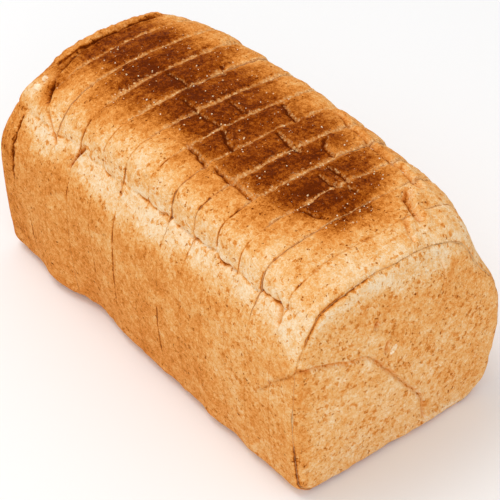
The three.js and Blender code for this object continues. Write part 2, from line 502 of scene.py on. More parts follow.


# %% [markdown]
# ## Creases and folds
# As the crust dries it wrinkles, and where the dough was folded into the tin its end keeps the
# fold. A crease is a line on the plan of the top, on a side or on an end face. It is pressed in as
# a soft valley with a sharp floor, and its path is shaken a little so that it never runs straight.
# Its floor is darkened with painted shade.

# %% Lines of the creases
# Each is a line of places, its depth and half width in mm, and how far its floor is torn open.
# On the top the places are x and y
TOP_CREASES = [
    ([(3, 28), (10, 25), (17, 24)], 1.7, 2.4, 0.75),
    ([(2, -7), (10, -11), (16, -12)], 1.7, 2.2, 0.6),
    ([(-30, -6), (-21, -6), (-14, -7), (-2, -6)], 1.2, 2.0, 0.5),
    ([(0, -25), (7, -26), (17, -28)], 1.8, 2.4, 0.7),
    ([(21, -26), (28, -27), (36, -26), (49, -27)], 1.7, 2.4, 0.75),
    ([(-52, 2), (-46, 2), (-36, 3)], 1.3, 2.0, 0.5),
    ([(-41, 25), (-35, 22)], 1.1, 2.0, 0.5),
    ([(-14, 9), (-3, 9)], 1.1, 2.0, 0.6),
    ([(20, 11), (29, 9), (36, 10)], 1.6, 2.2, 0.85),
    ([(37, 25), (40, 21), (48, 20)], 1.7, 2.6, 0.7),
    ([(54, 13), (61, 13), (68, 13)], 1.5, 2.2, 0.6),
    ([(56, 6), (64, 5), (69, 9), (75, 11)], 1.6, 2.2, 0.6),
    ([(22, 45), (34, 42), (50, 40)], 1.5, 2.4, 0.3),
    ([(52, 40), (65, 39), (74, 39), (87, 37)], 2.2, 2.6, 0.2),
    ([(70, -15), (75, -14), (80, -11)], 1.1, 1.8, 0.4),
    ([(87, 30), (91, 26), (96, 24), (103, 23)], 3.0, 3.2, 0),
    ([(101, 17), (105, 14), (111, 13)], 1.2, 1.8, 0),
    ([(-104, 38), (-106, 28), (-106, 10), (-105, -10), (-102, -21), (-98, -32)], 3.2, 2.4, 0),
    ([(-98, -32), (-94, -39), (-90, -44)], 3.2, 2.3, 0),
]
# On the left side the places are x and z
SIDE_CREASES = [
    ([(-86, 96), (-80, 91), (-75, 87)], 2.6, 2.6, 0),
    ([(-53, 94.5), (-55.5, 91), (-58, 84)], 3.0, 1.9, 0),
    ([(-88, 103), (-96, 99), (-102, 92), (-104, 84)], 0.6, 1.6, 0),
    ([(94, 53), (101, 62), (108, 69), (117, 77)], 0.9, 1.4, 0),
    ([(93, 101), (96, 97), (99, 92)], 1.8, 2.4, 0),
    ([(-21, 96), (-18, 90)], 1.1, 1.6, 0),
    ([(14, 97), (16, 93)], 1.1, 1.6, 0),
    ([(33, 98), (35, 93)], 0.9, 1.4, 0),
]
# On the near end face the places are y and z
FOLD = [(-60, 78), (-49, 77), (-41, 74), (-32, 70), (-24, 69), (-18, 65)]
FOLD += [(-7, 50), (6, 32), (12, 23), (15, 8)]
END_CREASES = [
    (FOLD, 1.3, 1.3, 0),
    ([(18, 106), (22, 100), (25, 92), (26, 86), (23, 81)], 0.6, 1.3, 0),
    ([(-43, 98), (-39, 95), (-36, 90)], 0.35, 1.4, 0),
    ([(-10, 65), (-9, 69)], 2.4, 2.2, 0),
    ([(-15.3, 81), (-14.8, 83.5)], 2.6, 2.0, 0),
]
print("creases:", len(TOP_CREASES), "on top,", len(SIDE_CREASES + END_CREASES), "elsewhere")


def distance_to(line, a, b):
    """Distance of every point from a line of places, and on which side of it the point lies"""
    nearest = np.full(len(a), 1e9)
    side = np.zeros(len(a))
    for (a0, b0), (a1, b1) in zip(line, line[1:]):
        da, db = a1 - a0, b1 - b0
        t = np.clip(((a - a0) * da + (b - b0) * db) / (da * da + db * db), 0, 1)
        off_a, off_b = a - a0 - t * da, b - b0 - t * db
        away = np.hypot(off_a, off_b)
        side = np.where(away < nearest, np.sign(da * off_b - db * off_a), side)
        nearest = np.minimum(nearest, away)
    return nearest, side


def creased(creases, a, b, shake):
    """Depth of the creases at every point, the painted shade on their floors, and how torn"""
    depth, floor_shade, open_share = np.zeros(len(a)), np.zeros(len(a)), np.zeros(len(a))
    for line, deep, reach, torn in creases:
        away, side = distance_to(line, a + shake[0], b + shake[1])
        soft = np.clip(1 - away / reach, 0, 1) ** 1.6
        lip = (0.3 + 0.2 * side) * np.exp(-(((away - 1.2 * reach) / (0.7 * reach)) ** 2))
        depth = depth + deep * soft - min(deep, 1.8) * lip
        # Painted shade along the floor of the crease, shifted to one side of its line
        dark = np.clip(1 - np.abs(away * side + 0.15 * reach) / (0.4 * reach), 0, 1)
        floor_shade = np.maximum(floor_shade, dark * min(deep / 1.8, 1.5))
        tan = np.clip(1.2 - np.abs(away * side - 0.4 * reach) / (0.45 * reach), 0, 1)
        open_share = np.maximum(open_share, tan * torn)
    return depth, floor_shade, open_share


# %% [markdown]
# ## Where the cuts gape
# A fresh loaf closes up again behind the saw. Its cuts show as fine dark lines over the left
# shoulder and as torn, pale lips on the brown top, while most of the walls look whole. So every cut
# has a width that changes round the section, and a few cuts gape where the loaf has been bent.
# The dark of the fine lines is partly the narrow gap and partly painted shade along each cut.

# %% Widths of the cuts
# Width of a cut round the section: 0 is the middle of the base, 3 and 5 the creases, 4 the top
GAPE_ROUND = [0, 2.6, 3.0, 3.4, 4.0, 4.45, 4.65, 4.85, 4.97, 5.06, 5.2, 8]
GAPE_WIDTH = [0.02, 0.02, 0.03, 0.06, 0.1, 0.14, 0.3, 0.42, 0.36, 0.1, 0.02, 0.02]
# A cut stands open by this share of its width, and the rest of it is a groove with painted shade on
# its floor
OPEN_SHARE = 0.12
# How far each cut gapes over the left shoulder, against the others
SHOULDER_GAPE = [0.1, 0.3, 0.1, 1.3, 0.9, 0.6, 0.8, 0.9, 1.1, 1.6, 0.6, 0.8, 1.0, 1.2]
# Places on the left side where a cut shows: cut, lowest and highest z, width
SIDE_GAPES = [
    (0, 53, 84, 1.7),
    (1, 18, 36, 0.22),
    (3, 64, 78, 0.2),
    (4, 32, 42, 0.2),
    (5, 28, 82, 0.26),
    (7, 16, 50, 0.2),
    (8, 84, 92, 0.25),
    (13, 78, 90, 0.12),
    (13, 88, 104, 0.4),
    (13, 0, 34, 0.6),
]
# Width of the torn lip on each cut over the top
LIP_WIDTH = [0.3, 1.4, 1.8, 2.3, 2.0, 1.5, 1.4, 1.4, 1.8, 1.8, 1.6, 1.1, 0.4, 0.2]
# Distance in the block of lumps from one cut to the next, so that no two cuts look alike
CUT_STRIDE = 40
NEAR_HEEL_CUT = 13
print(len(SIDE_GAPES), "gaps on the left wall, the widest", max(gap[3] for gap in SIDE_GAPES), "mm")


def cut_places(cut, y, z):
    """Places where to read lumps that both sides of a cut share"""
    return np.stack([y * 0 + CUT_STRIDE * cut, y, z], 1)


def gape(cut, points, ring):
    """Width in mm that a cut shows on the crust at every point"""
    _, y, z = points.T
    width = np.interp(ring, GAPE_ROUND, GAPE_WIDTH)
    shoulder = smooth(ring, 4.45, 4.65) * (1 - smooth(ring, 5.02, 5.12))
    width = width * (1 + shoulder * (SHOULDER_GAPE[cut] - 1))
    across = cut_places(cut, y, z)
    broken = 1 - 0.9 * shoulder * (1 - smooth(lumps(across, 3.4, 67), -0.3, 0.1))
    width = width * broken * (1 + layered(across, (0.5, 5, 61), (0.35, 1.6, 69)))
    if cut == NEAR_HEEL_CUT:
        # A fine line on the left of the top, with a torn gap over the shoulder
        thin = 0.16 * (1 - smooth(y, 10, 18)) * (ring > 3.2) * (0.6 + lumps(across, 4, 70))
        wide = 0.55 * smooth(y, -53, -46) * (1 - smooth(y, -30, -6))
        width = np.maximum(thin, wide * (1 + 0.9 * lumps(across, 2.6, 70))) * (ring < 5.05)
    for number, low, high, wide in SIDE_GAPES:
        if number == cut:
            ends = smooth(z, low - 3, low + 4) * (1 - smooth(z, high - 4, high + 3))
            rough = 1 + layered(across, (0.5, 4, 62), (0.4, 1.5, 73))
            width = np.maximum(width, wide * ends * rough * (y < 0))
    return width


def torn_lip(cut, points, ring):
    """Width in mm of the torn pale lip that a cut leaves at every point of the brown top"""
    y = points[:, 1]
    across = cut_places(cut, y, y * 0)
    on_top = smooth(y, -38, -26) * smooth(ring, 2.95, 3.1) * (1 + 0.5 * smooth(y, 26, 42))
    whole = 0.4 + 0.6 * smooth(lumps(across, 7, 68), -0.7, 0.1)
    ragged = layered(across, (0.45, 3, 63), (0.45, 1.3, 64))
    return LIP_WIDTH[cut] * on_top * whole * np.maximum(1 + ragged, 0.1)


# %% [markdown]
# ## How brown the crust is
# One number tells how long each spot has baked: 0 is pale cream dough and 1 is almost burnt. The
# top is darkest in a band along its middle, the walls took an even tan from the tin, and the
# ledge, which neither the tin nor the heat of the oven reached, stayed pale. The relief below adds
# painted shade in the creases, along the cuts and at the far heel's rim to the same number.

# %% Bake of the brown top
# The brown band on the plan: its left edge and its right edge at places along the loaf
LEFT_X = [-104, -88, -80, -72, -56, -46, -38, -20, -8, 2, 24, 50, 66, 72, 80, 92]
LEFT_Y = [-22, -22, -21, -22, -28, -26, -22, -21, -19, -23, -25, -24, -23, -20, -12, -7]
RIGHT_X = [-104, -88, -80, -72, -64, -52, -40, -32, -24, -16, -8]
RIGHT_X += [0, 8, 18, 32, 40, 48, 56, 64, 72, 80, 92]
RIGHT_Y = [24, 29, 27, 30, 27, 36, 32, 36, 33, 36, 30, 35, 31, 36, 33, 36, 31, 37, 32, 28, 17, 8]
# The bake at distances inside each edge, and at places along the loaf near its two ends
LEFT_FADE = ([-31, -24, -17, -12, -7, 0, 7, 14], [0.2, 0.24, 0.32, 0.43, 0.53, 0.71, 0.87, 0.93])
RIGHT_FADE = ([-28, -21, -14, -7, 0, 7, 14], [0.28, 0.32, 0.38, 0.51, 0.71, 0.86, 0.92])
NEAR_FADE = ([80, 84, 88, 92, 96, 100, 108, 116], [1.0, 0.9, 0.7, 0.54, 0.41, 0.31, 0.22, 0.17])
FAR_FADE = ([-112, -106, -102, -97, -92, -88, -82], [0.66, 0.74, 0.86, 0.94, 0.94, 0.96, 1.0])
# Spots that baked more or less than the band around them, and one of painted shade near the far
# heel's crevice: place, reach both ways and change
SPOTS = [
    (-64, 0, 16, 20, 0.06),
    (-44, 8, 10, 12, 0.04),
    (-15, 15, 6, 8, 0.05),
    (40, 0, 8, 14, 0.06),
    (66, -8, 13, 12, 0.06),
    (12, 22, 9, 8, -0.1),
    (-8, 22, 6, 8, -0.1),
    (32, 15, 8, 9, -0.08),
    (49, 6, 5, 14, -0.08),
    (45, 25, 6, 4, -0.16),
    (16, -14, 9, 6, -0.04),
    (94, -38, 22, 9, 0.12),
    # Painted shade near the crevice where the far heel tore away
    (-91, -37, 7, 8, 0.32),
    (-74, 10, 4, 16, -0.12),
    (-107, -39, 8, 8, -0.14),
]
# How gently two fades run into each other
FADE_BLEND = 0.03


def top_bake(x, y):
    """Bake of the top crust on the plan"""
    fades = np.stack(
        [
            np.interp(y - np.interp(x, LEFT_X, LEFT_Y), *LEFT_FADE),
            np.interp(np.interp(x, RIGHT_X, RIGHT_Y) - y, *RIGHT_FADE),
            np.interp(x, *NEAR_FADE),
            np.interp(x, *FAR_FADE),
        ]
    )
    bake = -FADE_BLEND * np.log(np.exp(-fades / FADE_BLEND).sum(0))
    for spot_x, spot_y, reach_x, reach_y, change in SPOTS:
        bake += change * np.exp(-(((x - spot_x) / reach_x) ** 2) - ((y - spot_y) / reach_y) ** 2)
    return bake


print("bake along the middle of the top:", np.round(top_bake(np.linspace(-110, 110, 9), 0), 2))


# %% Bake of every point
# Height at which the tan of the left wall gives way to the pale ledge
KNEE_X = [-118, -104, -80, -72, -64, -56, -48, -40, 0, 16, 32, 40, 64, 72, 88, 96, 104, 114]
KNEE_Z = [88, 86, 82, 81, 87, 87, 85, 83, 83, 85, 86, 89, 90, 88, 90, 88, 85, 80]
WALL_BAKE = 0.41
LEDGE_BAKE = 0.115
ROLL_BAKE = 0.135
BASE_BAKE = 0.5


def bake_of(points, ring, share, rough):
    """Bake of every point, from 0 for pale dough to 1 for the darkest crust"""
    x, y, z = (points + 2.6 * rough).T
    knee = np.interp(x, KNEE_X, KNEE_Z)
    wall = WALL_BAKE + 0.05 * smooth(62 - z, 0, 45) - 0.08 * smooth(x, 35, 80)
    side = wall + (LEDGE_BAKE - wall) * smooth(z, knee - 8, knee + 5)
    roll = smooth(np.abs(ring - 4), 1.06, 0.98)
    side = side + (ROLL_BAKE - side) * roll * (0.5 + 0.5 * smooth(-y, 0, 10))
    side = side + (0.5 - side) * smooth(-x, 103, 110) * (1 - 0.5 * smooth(z, 90, 98))
    up = smooth(np.abs(ring - 4), 1.0, 0.84)
    bake = side + (top_bake(x, y) - side) * up
    base = smooth(np.minimum(ring, 8 - ring), 0.95, 0.8)
    bake = bake + (BASE_BAKE - bake) * base

    flap = smooth(-y - 0.9 * z, -60, -40)
    face = 0.3 - 0.05 * flap + 0.04 * smooth(z, 60, 90) - 0.3 * smooth(z, 91, 106)
    face = face + 0.16 * smooth(-y, 48, 58) - 0.2 * smooth(y, 10, 18) * (1 - smooth(z, 4, 8))
    near_face = smooth(x, 115.5, 118) * smooth(1 - share, 0.01, 0.06)
    bake = bake + (face - bake) * near_face
    far_face = smooth(-x, 115.5, 118) * smooth(1 - share, 0.01, 0.06)
    return bake + (0.42 - 0.2 * smooth(z, 93, 106) - bake) * far_face


# %% [markdown]
# ## Relief of the crust
# The relief is added along the surface's own normals. Each slice swells a little between its two
# cuts, the brown top has fine cross wrinkles, and the creases and the fold are pressed in. The far
# heel has torn away from the first slice, and its ragged rim stands up behind it. Last of all the
# crust sinks towards each cut, where the blade has dragged it down. The creases, the cuts and the
# foot of the far heel's rim get painted shade in their bake as well.

# %% Heights that are added to the form
# How far at most a slice stands up, tilts and leans against its neighbours
LIFT, TILT, LEAN = 0.25, 0.5, 0.4
# How far each slice swells between its cuts, and how far the whole top is sunk to leave room for it
SLICE_SWELL, TOP_SINK = 0.45, 0.7
# The far heel and the slices from this one on stay level with their neighbours
FIRST_LEVEL = 12


def swollen(points, row, up, number):
    """Swells of the top, and how each slice stands against its neighbours"""
    high = smooth(points[:, 2], 80, 98)
    height = layered(points, (0.7, 24, 51), (0.35, 13, 52))
    draw = np.random.default_rng(53 + number)
    lift, tilt, lean = (draw.uniform(-most, most) for most in (LIFT, TILT, LEAN))
    if 0 < number < FIRST_LEVEL:
        height += lift + tilt * (row - 0.5) + lean * points[:, 1] / 40
    return high * (height + SLICE_SWELL * (1 - (2 * row - 1) ** 2)) - TOP_SINK * up


def rough_crust(points, up):
    """Lumps and cross wrinkles of the crust"""
    top = layered(points, (0.32, 9, 11), (0.26, 3.6, 12), (0.17, 1.7, 13))
    streaks = layered(points * (1, 0.3, 0.6), (0.09, 1.5, 14))
    wall = layered(points, (0.1, 14, 15), (0.09, 3, 16), (0.05, 1.6, 17))
    foot = layered(points, (0.5, 5, 18)) * smooth(16 - points[:, 2], 0, 10)
    return up * (top + streaks) + (1 - up) * (wall + foot)


# %% The long crease of the left side
# How strong the long crease between the left ledge and the cap is at places along the loaf
LONG_CREASE_X = [-118, -80, -40, 0, 20, 60, 97, 104, 112]
LONG_CREASE = [0.3, 0.7, 0.7, 1.1, 1.4, 1.5, 1.6, 0.6, 0]
# Millimetres of ledge and of cap to one step of the place round the section
LEDGE_SCALE, CAP_SCALE = 47, 65


def crease_line(points, ring):
    """Depth of the long crease at every point, and the painted shade along its floor"""
    x = points[:, 0]
    along_x = np.stack([x, x * 0, x * 0], 1)
    away = (ring - 5) * np.where(ring > 5, LEDGE_SCALE, CAP_SCALE)
    away = away + layered(along_x, (1.3, 8, 21), (0.6, 2.4, 22))
    strength = np.interp(x, LONG_CREASE_X, LONG_CREASE) * (0.75 + 0.5 * lumps(along_x, 4, 23))
    depth = strength * (1.1 * np.exp(-((away / 0.8) ** 2)) + 0.7 * np.exp(-((away / 3) ** 2)))
    # Painted shade along the floor of the crease, broken into dashes
    dark = strength * smooth(lumps(along_x, 2.8, 24), -0.5, 0.2) * np.exp(-((away / 0.6) ** 2))
    return depth, np.clip(dark, 0, 1.1)


# %% The far heel's rim and the near heel's flap
# Height of the far heel's torn rim in mm, and the bake of its top
FAR_RIM_STAND, FAR_RIM_BAKE = 2.1, 0.45
# Height of the flap of dough on the near end face
FLAP_HEIGHT = 0.75


def far_rim(points, up):
    """How far the torn rim of the far heel stands up behind the first slice"""
    x, y, _ = points.T
    ends = smooth(y, -30, -17) * (1 - 0.4 * smooth(y, 0, 30)) * (1 - smooth(y, 35, 41))
    ragged = 1 + layered(points, (0.3, 3, 81), (0.25, 1.4, 82))
    return FAR_RIM_STAND * up * ends * smooth(-x, 105.8, 108.3) * ragged


def fold_flap(points):
    """How far the flap below the fold of the near end face stands out"""
    away, side = distance_to(FOLD, points[:, 1], points[:, 2])
    below = (side < 0) | (points[:, 2] < 8)
    return FLAP_HEIGHT * below * smooth(away, 0.3, 2.2) * (1 - smooth(away, 6, 24))


# %% Put the relief together
# Share of a torn lip on the piece whose cut faces the far end (-1) or the near end (1)
LIP_PART = {-1: 0.45, 1: 0.8}


def cut_edge(away, wide, lip):
    """How far the crust sinks towards a cut, how torn it is and how much paler than the rest"""
    at_lip = np.clip(1 - away / np.maximum(lip, 0.01), 0, 1) * (lip > 0.1)
    groove = wide * np.exp(-((away / (0.35 + 0.45 * wide)) ** 2))
    groove += 0.12 * np.exp(-((away / 1.6) ** 2))
    sunk = np.where(wide > 0.05, 1.0, 0.3) * groove + 0.5 * at_lip * np.clip(lip / 1.2, 0, 1)
    torn = np.clip(1 - 0.5 * away / np.maximum(lip, 0.01), 0, 1) * (lip > 0.1)
    pale = np.clip(lip, 0, 2) * np.exp(-((away / 1.3) ** 2))
    return sunk, torn, pale


def neighbours(name):
    """The cuts of a piece: number, the way it faces along X, and the place of its packed face"""
    number = PIECES.index(name)
    sides = ((number - 1, -1, span[name][0]), (number, 1, span[name][1]))
    return [side for side in sides if 0 <= side[0] < len(cuts)]


def relief(points, ring, share, row, name):
    """Height to add at every point, bake with painted shade, and how torn and crumbly the crust is
    there
    """
    x, y, z = points.T
    up = smooth(np.abs(ring - 4), 1.05, 0.8) * smooth(z, 88, 100) * smooth(share, 0.9, 0.95)
    shake = [layered(points, (0.7, 3.5, seed)) for seed in (31, 32)]
    height = swollen(points, row, up, PIECES.index(name)) + rough_crust(points, up)
    height -= ROOM * smooth(z, 0, 15)
    wander = [layered(points, (1, 8, seed), (0.8, 22, seed + 3)) for seed in (41, 42, 43)]
    bake = bake_of(points, ring, share, np.stack(wander, 1))
    bake += layered(points, (0.04, 15, 47), (0.04, 5, 48))
    bake += up * layered(points * (1, 0.25, 0.5), (0.06, 1.4, 49))

    depth, floor_shade, torn = creased(TOP_CREASES, x, y, shake)
    height -= up * depth
    torn = torn * up
    # Deeper parts of the top creases and their floors are darkened as painted shade
    bake += up * (0.08 * np.clip(depth, 0, 1) * smooth(bake, 0.3, 0.6) + 0.32 * floor_shade)
    bake -= 0.15 * torn

    if name == "heel_far":
        stand = far_rim(points, up)
        height += stand
        bake += (FAR_RIM_BAKE - bake) * smooth(stand, 0.7, 1.5)
        # Painted shade at the foot of the rim, in the crevice behind the first slice
        rim_foot_shade = smooth(stand, 0.05, 0.4) * (1 - smooth(stand, 0.6, 1.1))
        bake += 0.3 * rim_foot_shade * smooth(x, -108.4, -107.2)

    left = smooth(-y, 20, 40) * (1 - up)
    depth, floor_shade, _ = creased(SIDE_CREASES, x, z, shake)
    line_depth, line_shade = crease_line(points, ring)
    height -= left * depth + line_depth
    # Painted shade on the floors of the side creases and along the long crease
    bake += 0.3 * left * floor_shade + 0.55 * line_shade

    near_face = smooth(x, 115.5, 118) * smooth(1 - share, 0.0, 0.05)
    depth, floor_shade, _ = creased(END_CREASES, y, z, shake)
    height += near_face * (fold_flap(points) - depth)
    # Painted shade on the floors of the end creases and the fold
    bake += 0.26 * near_face * floor_shade

    for cut, sign, edge in neighbours(name):
        wide = gape(cut, points, ring)
        away = sign * (edge - x)
        lip = LIP_PART[sign] * torn_lip(cut, points, ring)
        sunk, torn_there, pale = cut_edge(away, wide, lip)
        height -= sunk
        torn = np.maximum(torn, torn_there)
        # Painted shade along the floor of each cut, where no torn lip covers it
        rim = np.exp(-((away / (0.32 + 0.28 * wide)) ** 2)) * (torn_there < 0.1)
        bake -= 0.24 * pale * smooth(bake, 0.2, 0.6)
        bake += (0.12 + 0.44 * smooth(wide, 0.06, 0.34)) * rim
    return height, bake, torn


def opened(points, ring, name):
    """Shift along X that opens each cut as far as it gapes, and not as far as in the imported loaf"""
    x, y, z = points.T
    shift = np.zeros(len(points))
    for cut, sign, edge in neighbours(name):
        packed = abs(cuts[cut] - edge)
        across = cut_places(cut, y, z)
        wander = layered(across, (0.7, 13, 65), (0.25, 3.4, 66), (0.1, 1.5, 74))
        out = sign * (packed - OPEN_SHARE * gape(cut, points, ring) / 2) + wander
        shift += out * (1 - smooth(np.abs(x - edge), 0, 3))
    return shift


# %% Space the rows of a piece
# Room in mm between two rows: at a cut, more for each mm away from it, and at most
ROW_AT_CUT, ROW_GROWTH, ROW_MOST = 0.24, 0.2, 0.65


def row_places(length, close_start, close_end):
    """Places of the rows along a run, closer together next to a cut"""
    even = np.linspace(0, length, 400)
    room = np.full(len(even), ROW_MOST)
    for close, away in ((close_start, even), (close_end, length - even)):
        if close:
            room = np.minimum(room, ROW_AT_CUT + ROW_GROWTH * away)
    count = np.concatenate([[0], np.cumsum(np.diff(even) / room[1:])])
    rows = math.ceil(count[-1])
    return np.interp(np.linspace(0, count[-1], rows + 1), count, even) / length


# %% Shape one piece
# Lumps above this height are pressed together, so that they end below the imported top
HIGH, ROOM_ABOVE = 115.9, 1.1


def read_points(layer, kind, width):
    """The numbers of a mesh layer, with so many to a point"""
    numbers = np.empty(len(layer) * width, np.float32)
    layer.foreach_get(kind, numbers)
    return numbers.reshape(-1, width).astype(float)


def place_all(mesh, points):
    """Moves every vertex to its place, from millimetres to metres"""
    mesh.vertices.foreach_set("co", (points * MM).astype(np.float32).ravel())
    mesh.update()


def baked_mesh(name):
    """The mesh of one piece in its place, with the bake and the torn crumb as attributes"""
    low, high = span[name]
    far_cut, near_cut = name != "heel_far", name != "heel_near"
    length = high - low if far_cut and near_cut else RIM_RUN - abs(run_of(low if far_cut else high))
    places = row_places(length, far_cut, near_cut)
    rows = len(places) - 1
    box = gridded_box(rows, ([-1] if far_cut else []) + ([1] if near_cut else []))
    mesh = bpy.data.meshes.new(name + "_crust")
    box.to_mesh(mesh)
    box.free()
    cube = read_points(mesh.vertices, "co", 3)
    row = np.interp((cube[:, 0] + 1) / 2 * rows, np.arange(rows + 1), places)
    cube[:, 0] = 2 * row - 1
    points, ring, share = shaped(cube, name)
    place_all(mesh, points)
    height, bake, torn = relief(points, ring, share, row, name)
    moved = points + read_points(mesh.vertex_normals, "vector", 3) * height[:, None]
    moved[:, 0] += opened(points, ring, name)
    proud = np.maximum(moved[:, 2] - HIGH, 0)
    pressed = np.minimum(moved[:, 2], HIGH) + ROOM_ABOVE * np.tanh(proud / ROOM_ABOVE)
    moved[:, 2] = np.maximum(pressed, 0)
    place_all(mesh, moved)
    # The bake attribute also carries the painted shade of the creases, the cuts and the far heel's
    # rim
    for label, values in (("bake", bake), ("torn", torn)):
        layer = mesh.attributes.new(label, "FLOAT", "POINT")
        layer.data.foreach_set("value", values.astype(np.float32))
    return mesh


# %% Model every piece of crust
def close_cuts(mesh):
    """Closes the open ends with a face of crumb"""
    shape = bmesh.new()
    shape.from_mesh(mesh)
    rims = [edge for edge in shape.edges if edge.is_boundary]
    for edge in rims:
        edge.smooth = False
    for face in bmesh.ops.holes_fill(shape, edges=rims, sides=0)["faces"]:
        face.material_index = 1
    bmesh.ops.recalc_face_normals(shape, faces=shape.faces)
    shape.to_mesh(mesh)
    shape.free()


pieces = {}
for name in PIECES:
    mesh = baked_mesh(name)
    close_cuts(mesh)
    # Faces of crust have four corners and shade smooth, and the face of crumb stays flat
    smooth_faces = [len(polygon.vertices) == 4 for polygon in mesh.polygons]
    mesh.polygons.foreach_set("use_smooth", smooth_faces)
    piece = shown(name + "_crust", mesh)
    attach(piece, "root")
    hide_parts(name)
    pieces[name] = piece
print(sum(len(piece.data.vertices) for piece in pieces.values()), "points in all")

# %% [markdown]
# ## Crumbs on the crust
# The saw tears crumbs loose, and they stay on the brown top as pale specks. A particle system could
# scatter them, but its specks would have to be made real in the end. So each crumb is made at once,
# as a ball of twenty faces that is pulled out of shape and sunk a little into the crust.

# %% Read the brown top
# The least bake and the least upward slope of a spot where a crumb lies
CRUMB_BAKE, CRUMB_SLOPE = 0.6, 0.75


def crust_points(piece):
    """Places and slopes of every point of a piece's crust"""
    mesh = piece.data
    return read_points(mesh.vertices, "co", 3), read_points(mesh.vertex_normals, "vector", 3)


def crumb_spots(piece):
    """Places and slopes on the brown top of a slice where a crumb could lie"""
    places, slopes = crust_points(piece)
    bake = read_points(piece.data.attributes["bake"].data, "value", 1)[:, 0]
    brown = (bake > CRUMB_BAKE) & (slopes[:, 2] > CRUMB_SLOPE)
    return places[brown], slopes[brown]


print(len(crumb_spots(pieces["slice_07"])[0]), "spots for a crumb on the middle slice")


# %% Scatter the crumbs
CRUMBS_A_SLICE = 28
SMALLEST, LARGEST = 0.14 * MM, 0.5 * MM
# How far a crumb's middle stands above the crust and its corners are pulled, against its size
CRUMB_STAND, CRUMB_PULL = 0.4, 0.35

draw = np.random.default_rng(7)
crumb_shape = bmesh.new()
for name in SLICES[1:-1]:
    places, slopes = crumb_spots(pieces[name])
    for spot in draw.integers(len(places), size=CRUMBS_A_SLICE):
        size = SMALLEST + (LARGEST - SMALLEST) * draw.random() ** 2.5
        place = Matrix.Translation(places[spot] + CRUMB_STAND * size * slopes[spot])
        ball = bmesh.ops.create_icosphere(crumb_shape, subdivisions=1, radius=size, matrix=place)
        for vert in ball["verts"]:
            vert.co += Vector(draw.uniform(-CRUMB_PULL, CRUMB_PULL, 3)) * size
loose_crumbs = shown("loose_crumbs", bpy.data.meshes.new("loose_crumbs"))
crumb_shape.to_mesh(loose_crumbs.data)
crumb_shape.free()
print(len(loose_crumbs.data.polygons) // 20, "crumbs")

# %% [markdown]
# Three larger bits of dough are stuck to the heels: one on the near end face beside a pit, and two
# where the far heel has torn away from the first slice. Each is a finer ball, stretched, dented and
# laid flat on the crust at its place.

# %% Stick the larger bits on
# The heel, the place, three half sizes in mm of which the last stands up, and a turn in degrees
STUCK_BITS = [
    ("heel_near", (120, -6, 63.5), (1.5, 2.6, 0.8), -35),
    ("heel_far", (-105, -39.6, 97), (3.0, 1.9, 1.5), 20),
    ("heel_far", (-106, -34.6, 99), (2.0, 1.7, 1.6), 0),
]

# The crust within this reach of a bit's place tells how the bit lies
BIT_REACH = 2 * MM
BIT_DENTS = ((0.35, 1.1, 71), (0.15, 0.5, 72))

bits_shape = bmesh.new()
for name, place, sizes, angle in STUCK_BITS:
    places, slopes = crust_points(pieces[name])
    away = np.linalg.norm(places - np.array(place) * MM, axis=1)
    around = away < away.min() + BIT_REACH
    seat = Vector(places[around].mean(0))
    turn = Vector(slopes[around].mean(0)).to_track_quat("Z", "Y").to_matrix().to_4x4()
    turn = turn @ Matrix.Rotation(math.radians(angle), 4, "Z")
    matrix = Matrix.Translation(seat) @ turn @ Matrix.Diagonal((*sizes, 1))
    ball = bmesh.ops.create_icosphere(bits_shape, subdivisions=4, radius=MM, matrix=matrix)
    at = np.array([vert.co for vert in ball["verts"]]) / MM
    for vert, dent in zip(ball["verts"], layered(at, *BIT_DENTS)):
        vert.co += (vert.co - seat).normalized() * float(dent) * MM
stuck_bits = shown("stuck_bits", bpy.data.meshes.new("stuck_bits"))
bits_shape.to_mesh(stuck_bits.data)
bits_shape.free()
stuck_bits.data.polygons.foreach_set("use_smooth", [True] * len(stuck_bits.data.polygons))

for piece in (loose_crumbs, stuck_bits):
    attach(piece, "root")
print(len(STUCK_BITS), "larger bits")

# %% [markdown]
# ## Finishes
# A shader could be built in the editor, but a few helpers say the same in words. `add` makes a node
# with its settings and links, and a plain number or a link may stand for any input.

# %% Node helpers
def linear(*screen):
    """A colour as it looks on screen, as the linear colour that Blender mixes"""
    light = [c / 255 / 12.92 if c < 11 else ((c / 255 + 0.055) / 1.055) ** 2.4 for c in screen]
    return (*light, 1)


def add(tree, kind, inputs=(), **settings):
    """A new shader node, with its settings and the numbers or links of its inputs"""
    made = tree.nodes.new("ShaderNode" + kind)
    for key, value in settings.items():
        setattr(made, key, value)
    for key, value in dict(inputs).items():
        if isinstance(value, bpy.types.NodeSocket):
            tree.links.new(value, made.inputs[key])
        else:
            made.inputs[key].default_value = value
    return made


def maths(tree, operation, first, second, clamp=False):
    """The result of one sum"""
    return add(tree, "Math", {0: first, 1: second}, operation=operation, use_clamp=clamp).outputs[0]


def plus(tree, first, *others):
    """The sum of two or more values"""
    for other in others:
        first = maths(tree, "ADD", first, other)
    return first


def times(tree, first, second):
    """The product of two values"""
    return maths(tree, "MULTIPLY", first, second)


def ranged(tree, value, low, high, to_low=0.0, to_high=1.0):
    """A value eased from one range to another"""
    inputs = {"Value": value, "From Min": low, "From Max": high}
    inputs.update({"To Min": to_low, "To Max": to_high})
    return add(tree, "MapRange", inputs, interpolation_type="SMOOTHSTEP").outputs["Result"]


def mixed(tree, share, first, second):
    """Two colours, mixed by a share of the second"""
    return add(tree, "Mix", {0: share, 6: first, 7: second}, data_type="RGBA").outputs[2]


